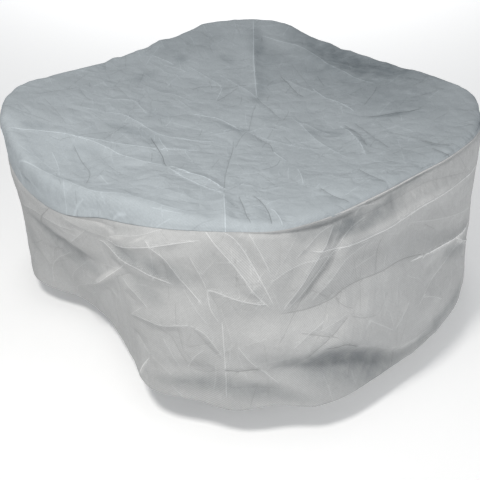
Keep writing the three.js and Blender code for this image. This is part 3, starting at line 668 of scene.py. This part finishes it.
def mesh_piece(name, points, faces, flat, fields):
    """A smooth mesh with, on its vertices, the flat cloth's coordinates and the fields of numbers."""
    mesh = bpy.data.meshes.new(name)
    mesh.from_pydata(points.reshape(-1, 3).tolist(), [], faces)
    flat = np.concatenate([flat.reshape(-1, 2), np.zeros((len(mesh.vertices), 1))], -1)
    cloth = mesh.attributes.new("cloth", "FLOAT_VECTOR", "POINT")
    cloth.data.foreach_set("vector", flat.astype(np.float32).ravel())
    for field, values in fields.items():
        attribute = mesh.attributes.new(field, "FLOAT", "POINT")
        attribute.data.foreach_set("value", values.astype(np.float32).ravel())
    mesh.polygons.foreach_set("use_smooth", np.ones(len(mesh.polygons), bool))
    mesh.update()
    piece = bpy.data.objects.new(name, mesh)
    bpy.context.scene.collection.objects.link(piece)
    return piece


def cloth_fields(folds, painted_shade, extend):
    """The numbers that the cloth's material reads, carried on round the piece's edge by extend."""
    fields = {"line_offset": folds.line_offset, "line_wear_and_painted_light": folds.line_wear_and_painted_light, "painted_shade": painted_shade}
    return {field: extend(values) for field, values in fields.items()}


def grid_faces(index):
    """The quads of a grid of vertex numbers."""
    corners = [index[:-1, :-1], index[:-1, 1:], index[1:, 1:], index[1:, :-1]]
    return np.stack(corners, -1).reshape(-1, 4).tolist()


# ---------------------------------------------------------------- the skirt

BACK = 90  # azimuth of the skirt's closing seam
FINE_FROM, FINE_TO = 188, 352  # azimuths between which the columns are close together
COARSE_STEP, FINE_STEP = 1.2, 0.27
ROWS_AT_SEAM = [-6, -3, 0, 2, 4, 6, 8, 10.5, 13, 16, 19.5, 23.5, 28]  # mm below it
ROW_BELOW_THEM = 33.5 * MM
ROWS_TO_HEM = 105
SKIRT_FACET_STRETCH = (1, 0.75)  # its facets are longer down the skirt
SKIRT_PUCKER = 0.35  # how unevenly its edge is gathered
TUCK = 3 * MM  # its upper edge lies this far behind the top's,
TUCK_ENDS = (0.5 * MM, 5 * MM)  # and comes out between these distances below the seam
PULL = 1.5 * MM  # the seam also pulls it in by this,
PULL_ENDS = (5 * MM, 50 * MM)  # until here
ROLL = (6 * MM, 5 * MM)  # how far below the seam its roll lies, and how wide it is
UNDER_ROLL = (22 * MM, 12 * MM)  # and the same for the hollow under the roll
UNDER_ROLL_DEPTH = 0.4  # as a share of the roll's height
STITCH_DIP = 0.5 * MM
STITCH_PLACE = (19 * MM, 3 * MM)  # how far above the hem the stitches lie, and the width of their dip
HEM_WIDTH = 22 * MM
HEM_TURN = 1.6 * MM  # thickness of the turned-up hem
HEM_SLOPE_ROWS = 4  # the way up at the hem is measured over this many rows
# Points of the hem as it turns in round its edge and runs up inside: inward, and up.
HEM_EDGE = [(0.4 * MM, -0.5 * MM), (HEM_TURN, 0), (HEM_TURN, 8 * MM), (HEM_TURN, HEM_WIDTH)]


def skirt_columns():
    """Azimuths from the closing seam at the back round to it again, finer round the front."""
    left_side = np.arange(BACK, FINE_FROM, COARSE_STEP)
    front = np.arange(FINE_FROM, FINE_TO, FINE_STEP)
    right_side = np.arange(FINE_TO, BACK + 360, COARSE_STEP)
    return np.concatenate([left_side, front, right_side, [BACK + 360]])


def skirt_rows():
    """Distances below the seam along the cloth, finer at the seam."""
    to_hem = np.linspace(ROW_BELOW_THEM, SKIRT_LENGTH, ROWS_TO_HEM)
    return np.concatenate([np.array(ROWS_AT_SEAM) * MM, to_hem])


def skirt_place(place):
    """An (azimuth, drop) pair as metres of flat cloth, from the closing seam and down."""
    azimuth, drop = place
    return math.radians((azimuth - BACK) % 360) * MEAN_RADIUS, drop * SKIRT_LENGTH


def skirt_lean(place):
    """The usual direction of the skirt's small creases: down, fanning out from between the chairs."""
    turn = math.degrees(place[0] / MEAN_RADIUS)
    return 90 + 32 * math.sin(math.radians(4 * turn + 20))


def scatter_over_skirt(folds):
    """Creases at random, then more of them that are shorter and finer."""
    reach = np.array([2 * math.pi * MEAN_RADIUS, SKIRT_LENGTH])
    scatter_creases(folds, count=200, low=0 * reach, high=reach, seed=11, lean=skirt_lean, spread=30,
                    rise=(0.4 * MM, 1.8 * MM), length=(0.06, 0.35), reach=(18 * MM, 55 * MM))
    scatter_creases(folds, count=420, low=0 * reach, high=reach, seed=13, lean=skirt_lean, spread=45,
                    rise=(0.2 * MM, 0.8 * MM), length=(0.03, 0.12), reach=(8 * MM, 22 * MM))


def seam_and_stitches(base, azimuth, below):
    """How far the skirt stands out at the seam, where it is tucked in and rolls out, and at its stitches."""
    pucker = 1 + SKIRT_PUCKER * noise(base * [1, 1, 0], PUCKER_CELL, seed=31)
    roll = around(SEAM_ROLL, azimuth) * pucker
    height = roll * (bump_at(below, *ROLL) - UNDER_ROLL_DEPTH * bump_at(below, *UNDER_ROLL))
    height -= TUCK * (1 - smoothstep(below, *TUCK_ENDS))
    height -= PULL * (1 - smoothstep(below, *PULL_ENDS))
    return height - STITCH_DIP * bump_at(SKIRT_LENGTH - below, *STITCH_PLACE)


def hem_edge(outer, inward):
    """Points of the hem's turned-in edge, from the skirt's outer face and the inward directions along it."""
    edge = outer[-1]
    upward = outer[-1 - HEM_SLOPE_ROWS] - edge
    upward /= np.linalg.norm(upward, axis=-1, keepdims=True)
    return np.array([edge + inward * depth + upward * up for depth, up in HEM_EDGE])


def make_skirt():
    below, azimuth = np.meshgrid(skirt_rows(), skirt_columns(), indexing="ij")
    base = base_surface(azimuth, SEAM_PARAMETER + below / SKIRT_LENGTH * (1 - SEAM_PARAMETER))
    angle = np.radians(azimuth)
    normal = grid_normals(base, np.stack([np.cos(angle), np.sin(angle), 0 * angle], -1))
    flat = np.stack([np.radians(azimuth - BACK) * MEAN_RADIUS, below], -1)
    folds = Folds(flat)
    scatter_over_skirt(folds)
    add_placed_folds(folds, SKIRT_ROLLS, SKIRT_CREASES, skirt_place, mirrored=True)
    # Painted shade and highlight, in soft strokes.
    painted_shade = painted_shade_over(flat, SKIRT_PAINTED_SHADE, skirt_place, mirrored=True)
    height = folds.height + relief(flat * SKIRT_FACET_STRETCH, base, seed=21)
    height *= smoothstep(below, 0, EDGE_CALM)
    height += seam_and_stitches(base, azimuth, below)
    outer = base + normal * height[..., None]
    points = np.concatenate([outer, hem_edge(outer, -normal[-1])])

    def extend(values):
        return np.concatenate([values, np.repeat(values[-1:], len(HEM_EDGE), 0)])

    index = np.arange(points.shape[0] * points.shape[1]).reshape(points.shape[:2])
    fields = cloth_fields(folds, painted_shade, extend)
    return mesh_piece("skirt_cloth", points, grid_faces(index[:, ::-1]), extend(flat), fields)


# ---------------------------------------------------------------- the top

TOP_GRID = (361, 251)  # columns across, rows from front to back
KNOT_SHARES = [0, 0.407, 0.822, 0.905, 1]  # how far towards the seam each of the profile's points lies
TOP_REACH = 1.04  # metres, about as far as the seam is from the middle
TOP_FACET_STRETCH = (0.8, 1)  # its facets are longer across the top
TOP_PUCKER = 0.3  # how unevenly its edge is gathered
JUST_ABOVE_SEAM = 0.01  # as a share of the profile, to find the way down at the seam
# The top's edge hangs over the seam, turns under and runs back behind it. For each loop of its points: the
# share of the lap over the seam, how far below that, and how far inward.
TOP_EDGE = [(1, 0, 0), (1, 0.4 * MM, 0.8 * MM), (1, 0, 1.6 * MM), (0, -8 * MM, 1.8 * MM)]


def disc_grid():
    """Azimuth, and share of the way to the edge, of a square grid pressed into a disc."""
    a, b = np.meshgrid(np.linspace(-1, 1, TOP_GRID[0]), np.linspace(-1, 1, TOP_GRID[1]))
    wide = np.abs(a) > np.abs(b)
    longer = np.where(wide, a, b)
    shorter = np.where(wide, b, a)
    turn = 45 * shorter / np.where(longer == 0, 1, longer)
    azimuth = np.where(wide, turn, 90 - turn) + np.where(longer < 0, 180, 0)
    return np.mod(azimuth, 360), np.abs(longer)


def rim_loop(index):
    """The grid's outer vertices in order, as seen from above, starting at its first corner."""
    return np.concatenate([index[0, :-1], index[:-1, -1], index[-1, :0:-1], index[:0:-1, 0]])


def top_place(place):
    """An (x, y) pair in mm as metres of flat cloth."""
    return np.array(place) * MM


def top_lean(place):
    """The usual direction of the top's small creases: across, turning towards the middle."""
    return -22 + 30 * math.sin(3 * place[0]) - 20 * place[1]


def scatter_over_top(folds):
    """Creases at random, then more of them that are shorter and finer."""
    reach = np.array([1.0, 1.0])
    scatter_creases(folds, count=240, low=-reach, high=reach, seed=12, lean=top_lean, spread=36,
                    rise=(0.5 * MM, 2 * MM), length=(0.06, 0.3), reach=(16 * MM, 50 * MM))
    scatter_creases(folds, count=560, low=-reach * 0.75, high=reach * 0.9, seed=14, lean=top_lean, spread=50,
                    rise=(0.3 * MM, 1 * MM), length=(0.03, 0.13), reach=(8 * MM, 24 * MM))


def top_edge(azimuth):
    """The loops of points along the top's edge, at the azimuths of its rim."""
    seam = base_surface(azimuth, np.full(len(azimuth), SEAM_PARAMETER))
    down = seam - base_surface(azimuth, np.full(len(azimuth), SEAM_PARAMETER - JUST_ABOVE_SEAM))
    down /= np.linalg.norm(down, axis=-1, keepdims=True)
    angle = np.radians(azimuth)
    out = np.cross(down, np.stack([-np.sin(angle), np.cos(angle), 0 * angle], -1))
    lap = (around(SEAM_LAP, azimuth) * (1 + TOP_PUCKER * noise(seam, PUCKER_CELL, seed=32)))[:, None]
    return [seam + down * (lap * covered + extra) - out * inward for covered, extra, inward in TOP_EDGE]


def make_top():
    azimuth, share = disc_grid()
    parameter = np.interp(share, KNOT_SHARES, np.arange(STRETCHES_ABOVE_SEAM + 1) / STRETCHES)
    base = base_surface(azimuth, parameter)
    normal = grid_normals(base, np.array([0, 0, 1.0]))
    flat = base[..., :2].copy()
    folds = Folds(flat)
    scatter_over_top(folds)
    add_placed_folds(folds, TOP_ROLLS, TOP_CREASES, top_place, mirrored=False)
    # Painted shade and highlight, in soft strokes.
    painted_shade = painted_shade_over(flat, TOP_PAINTED_SHADE, top_place, mirrored=False)
    height = folds.height + relief(flat * TOP_FACET_STRETCH, base, seed=24)
    height *= smoothstep((1 - share) * TOP_REACH, 0, EDGE_CALM)
    points = base + normal * height[..., None]
    index = np.arange(azimuth.size).reshape(azimuth.shape)
    rim = rim_loop(index)
    loops = top_edge(azimuth.ravel()[rim])
    faces = grid_faces(index)
    ring = rim
    for number in range(len(loops)):
        new_ring = azimuth.size + number * len(rim) + np.arange(len(rim))
        faces += np.stack([ring, new_ring, np.roll(new_ring, -1), np.roll(ring, -1)], -1).tolist()
        ring = new_ring
    points = np.concatenate([points.reshape(-1, 3), *loops])

    def extend(values):
        values = values.reshape(azimuth.size, -1)
        return np.concatenate([values] + [values[rim]] * len(loops))

    return mesh_piece("top_cloth", points, faces, extend(flat), cloth_fields(folds, painted_shade, extend))


# ---------------------------------------------------------------- materials

ROUGHNESS = 0.86
SPECULAR = 0.25
LINE_HALF = 3.2 * MM  # a crease line's mark, pale wear and painted highlight on a ridge and painted shade in a trough, reaches this far either side of it,
LINE_RIDGE = 6 * MM  # and the ridge that it stands on this far
LINE_HEIGHT = 1.0 * MM
PAINTED_SHADE_TINT = (-0.45, -0.43, -0.415)  # what full painted shade takes from red, green and blue, leaving it darker and bluer as shadow is
PAINTED_SHADE_UNEVEN = (0.7, 1.3)  # how much weaker or stronger the painted shade is in places,
PAINTED_SHADE_CELL = 0.05  # of this size
NET_CELL = 0.075  # of the net of fine lines where the cloth was packed
NET_LINE = 1.6 * MM
NET_TONE = 0.07
NET_HEIGHT = 0.3 * MM
NET_BEND = 0.5  # how far its lines waver, in cells
NET_SHOWN = (-0.9, 1.1)  # it shows where noise over this range is above 0,
NET_SHOWN_CELL = 0.11  # and the noise has cells of this size
GRAIN_PITCH = 6.2 * MM
GRAIN_TURN_CELL = 0.3  # the grain's ribs slant the other way after about this far
FIBRE_CELL = 4 * MM
FIBRE_HEIGHT = 0.04 * MM
MOTTLES = [(0.17, 3, 1), (0.035, 3, 0.2), (0.006, 2, 1)]  # cell, detail, and share of the cloth's mottle
CRUMPLE_CELLS = (0.12, 0.06)
CRUMPLE_BEND = 0.4
BEND_CELL = 0.8  # cells' edges waver over this share of a cell
NOISE_SPAN = (0.3, 0.7)  # nearly all of a noise node's values lie in this range


class Nodes:
    """A material's node tree, with short calls for the nodes that the cloth needs."""

    def __init__(self, material):
        material.use_nodes = True
        self.nodes = material.node_tree.nodes
        self.links = material.node_tree.links

    def fill(self, node, inputs):
        """Sets inputs of a node, by name or number, each to another node's output or to a plain value."""
        for key, value in inputs:
            if isinstance(value, bpy.types.NodeSocket):
                self.links.new(value, node.inputs[key])
            else:
                node.inputs[key].default_value = value

    def operate(self, kind, operation, values):
        node = self.nodes.new(kind)
        node.operation = operation
        self.fill(node, enumerate(values))
        return node.outputs[0]

    def math(self, operation, *values):
        return self.operate("ShaderNodeMath", operation, values)

    def vector(self, operation, *values):
        return self.operate("ShaderNodeVectorMath", operation, values)

    def ramp(self, value, low, high, to_low, to_high, smooth=False):
        node = self.nodes.new("ShaderNodeMapRange")
        node.interpolation_type = "SMOOTHSTEP" if smooth else "LINEAR"
        self.fill(node, [("Value", value), ("From Min", low), ("From Max", high)])
        self.fill(node, [("To Min", to_low), ("To Max", to_high)])
        return node.outputs["Result"]

    def attribute(self, name, output="Fac"):
        node = self.nodes.new("ShaderNodeAttribute")
        node.attribute_name = name
        return node.outputs[output]

    def noise(self, place, cell, detail, seed, low, high):
        """Noise of the given cell size in metres, spread from low to high."""
        node = self.nodes.new("ShaderNodeTexNoise")
        node.noise_dimensions = "4D"
        self.fill(node, [("Vector", place), ("W", seed), ("Scale", 1 / cell), ("Detail", detail)])
        return self.ramp(node.outputs["Fac"], *NOISE_SPAN, low, high)

    def bent_place(self, place, cell, distance):
        """Places pushed about by up to the given distance, so that what is drawn on them wavers."""
        node = self.nodes.new("ShaderNodeTexNoise")
        self.fill(node, [("Vector", place), ("Scale", 1 / cell)])
        return self.vector("MULTIPLY_ADD", node.outputs["Color"], (distance,) * 3, place)

    def from_cell_edge(self, place, cell, seed, bend):
        """The distance, in cells, from the nearest edge of irregular cells."""
        moved = self.vector("ADD", self.bent_place(place, cell * BEND_CELL, cell * bend), (seed,) * 3)
        node = self.nodes.new("ShaderNodeTexVoronoi")
        node.feature = "DISTANCE_TO_EDGE"
        self.fill(node, [("Vector", moved), ("Scale", 1 / cell)])
        return node.outputs["Distance"]


def embossed_ribs(tree, place, seed):
    """The waves, -1 to 1, of fine ribs that slant one way in some places and the other way in others."""
    cloth = tree.nodes.new("ShaderNodeSeparateXYZ")
    tree.fill(cloth, [("Vector", tree.attribute("cloth", "Vector"))])
    turns = 2 * math.pi / (GRAIN_PITCH * math.sqrt(2))
    waves = []
    for slant in ("ADD", "SUBTRACT"):
        across = tree.math(slant, cloth.outputs["X"], cloth.outputs["Y"])
        waves.append(tree.math("SINE", tree.math("MULTIPLY", across, turns)))
    leaning = tree.noise(place, GRAIN_TURN_CELL, 0, seed + 5, 0, 1)
    return tree.math("ADD", tree.math("MULTIPLY", waves[0], leaning),
                     tree.math("MULTIPLY", waves[1], tree.math("SUBTRACT", 1.0, leaning)))


def fine_net(tree, place, seed):
    """A net of fine lines, 1 on them, that shows only in places."""
    shown = tree.noise(place, NET_SHOWN_CELL, 2, seed + 3, *NET_SHOWN)
    edge = tree.from_cell_edge(place, NET_CELL, seed, NET_BEND)
    net = tree.ramp(edge, 0, NET_LINE / NET_CELL, 1, 0, smooth=True)
    return tree.math("MULTIPLY", net, tree.ramp(shown, 0, 1, 0, 1))


def cloth_material(name, colour, mottle, crumple, line_tone, grain_tone, grain_height, seed):
    """Matt non-woven cloth: mottled, fibrous, embossed with slanting ribs, pale with wear and painted
    highlight along crease ridges, with painted shade along crease troughs, and with painted shade and
    highlight in soft strokes.
    """
    material = bpy.data.materials.new(name)
    tree = Nodes(material)
    shader = tree.nodes["Principled BSDF"]
    shader.inputs["Roughness"].default_value = ROUGHNESS
    shader.inputs["Specular IOR Level"].default_value = SPECULAR
    place = tree.nodes.new("ShaderNodeTexCoord").outputs["Object"]
    # The crease lines' marks: pale wear and painted highlight along ridges, painted shade along troughs, and
    # a matching rise or dip in the bump.
    offset = tree.math("ABSOLUTE", tree.attribute("line_offset"))
    wear_and_painted_light = tree.attribute("line_wear_and_painted_light")
    line = tree.math("MULTIPLY", tree.ramp(offset, 0, LINE_HALF, 1, 0, smooth=True), wear_and_painted_light)
    ridge = tree.math("MULTIPLY", tree.ramp(offset, 0, LINE_RIDGE, 1, 0), wear_and_painted_light)
    net = fine_net(tree, place, seed)
    ribs = embossed_ribs(tree, place, seed)

    tones = []
    for number, (cell, detail, share) in enumerate(MOTTLES):
        swing = share * mottle
        tones.append(tree.noise(place, cell, detail, seed + number, 1 - swing, 1 + swing))
    for mark, strength in [(ribs, grain_tone), (line, line_tone), (net, NET_TONE)]:
        tones.append(tree.math("MULTIPLY_ADD", mark, strength, 1.0))
    paint = colour
    for tone in tones:
        paint = tree.vector("MULTIPLY", paint, tone)
    # Painted shade, bluish, from the soft strokes over hollows, under folds and on the far side; below 0 it
    # is painted highlight.
    uneven = tree.noise(place, PAINTED_SHADE_CELL, 3, seed + 7, *PAINTED_SHADE_UNEVEN)
    painted_shade = tree.math("MULTIPLY", tree.attribute("painted_shade"), uneven)
    tint = tree.vector("MULTIPLY_ADD", painted_shade, PAINTED_SHADE_TINT, (1, 1, 1))
    tree.fill(shader, [("Base Color", tree.vector("MULTIPLY", paint, tint))])

    height = tree.math("MULTIPLY", tree.noise(place, FIBRE_CELL, 2, seed, -1, 1), FIBRE_HEIGHT)
    for mark, rise in [(ribs, grain_height), (ridge, LINE_HEIGHT), (net, NET_HEIGHT)]:
        height = tree.math("MULTIPLY_ADD", mark, rise, height)
    for cell in CRUMPLE_CELLS:
        facet = tree.from_cell_edge(place, cell, seed + cell, CRUMPLE_BEND)
        height = tree.math("MULTIPLY_ADD", facet, cell * crumple, height)
    bump = tree.nodes.new("ShaderNodeBump")
    tree.fill(bump, [("Distance", 1.0), ("Height", height)])
    tree.fill(shader, [("Normal", bump.outputs["Normal"])])
    return material


# ---------------------------------------------------------------- floor, light and camera

FLOOR_HALF = 30  # metres from its middle to each side


def floor_material():
    """Matt white, lit a little from below, as a studio's lit sweep is."""
    material = bpy.data.materials.new("floor_paint")
    material.use_nodes = True
    shader = material.node_tree.nodes["Principled BSDF"]
    shader.inputs["Base Color"].default_value = (0.9, 0.9, 0.9, 1)
    shader.inputs["Roughness"].default_value = 0.9
    shader.inputs["Emission Color"].default_value = (1, 1, 1, 1)
    shader.inputs["Emission Strength"].default_value = 0.25
    return material


def make_stage():
    mesh = bpy.data.meshes.new("floor")
    signs = [(-1, -1), (1, -1), (1, 1), (-1, 1)]
    mesh.from_pydata([(x * FLOOR_HALF, y * FLOOR_HALF, FLOOR_HEIGHT) for x, y in signs], [], [(0, 1, 2, 3)])
    floor = bpy.data.objects.new("floor", mesh)
    bpy.context.scene.collection.objects.link(floor)
    mesh.materials.append(floor_material())


# Each light's name, place, target, size in metres, power and colour.
LIGHTS = [
    ("key", (-1.0, -1.85, 2.3), (0, -0.4, 0), 0.7, 64, (1.0, 0.985, 0.96)),
    ("right_fill", (2.8, -2.4, 0.5), (0, -0.3, -0.3), 1.6, 23, (1, 1, 1)),
    ("floor_light", (0, 5.5, 3.0), (0, 6.5, 0), 4.0, 170, (1, 1, 1)),
]


def area_light(name, place, target, size, power, colour):
    light = bpy.data.lights.new(name, "AREA")
    light.shape = "DISK"
    light.size = size
    light.energy = power
    light.color = colour
    lamp = bpy.data.objects.new(name, light)
    lamp.location = place
    aim = np.array(target) - np.array(place)
    lamp.rotation_euler = Vector(aim).to_track_quat("-Z", "Y").to_euler()
    bpy.context.scene.collection.objects.link(lamp)


def make_light():
    world = bpy.data.worlds.new("studio")
    world.use_nodes = True
    background = world.node_tree.nodes["Background"]
    background.inputs["Color"].default_value = (0.94, 0.97, 1.0, 1)
    background.inputs["Strength"].default_value = 0.3
    bpy.context.scene.world = world
    for row in LIGHTS:
        area_light(*row)
    bpy.context.scene.view_settings.view_transform = "Standard"


CAMERA_PLACE = (0, -3.62, 1.80)
CAMERA_PITCH = 34  # degrees below the horizon
FOCAL_PIXELS = 900  # in a picture of 480 x 480
PICTURE_SIDE = 480
SENSOR_WIDTH = 36


def make_camera():
    camera = bpy.data.cameras.new("camera")
    camera.sensor_width = SENSOR_WIDTH
    camera.lens = FOCAL_PIXELS / PICTURE_SIDE * SENSOR_WIDTH
    holder = bpy.data.objects.new("camera", camera)
    holder.location = CAMERA_PLACE
    holder.rotation_euler = (math.radians(90 - CAMERA_PITCH), 0, 0)
    bpy.context.scene.collection.objects.link(holder)
    bpy.context.scene.camera = holder


make_stage()
make_light()
make_camera()

top = make_top()
top_finish = cloth_material("top_cloth_finish", colour=(0.415, 0.453, 0.477), mottle=0.05, crumple=0.08,
                            line_tone=0.5, grain_tone=0.03, grain_height=0.04 * MM, seed=1.0)
top.data.materials.append(top_finish)
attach(top, "root")
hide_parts("top_panel")

skirt = make_skirt()
skirt_finish = cloth_material("skirt_cloth_finish", colour=(0.485, 0.49, 0.49), mottle=0.05, crumple=0.045,
                              line_tone=0.34, grain_tone=0.1, grain_height=0.06 * MM, seed=2.0)
skirt.data.materials.append(skirt_finish)
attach(skirt, "root")
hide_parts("skirt")
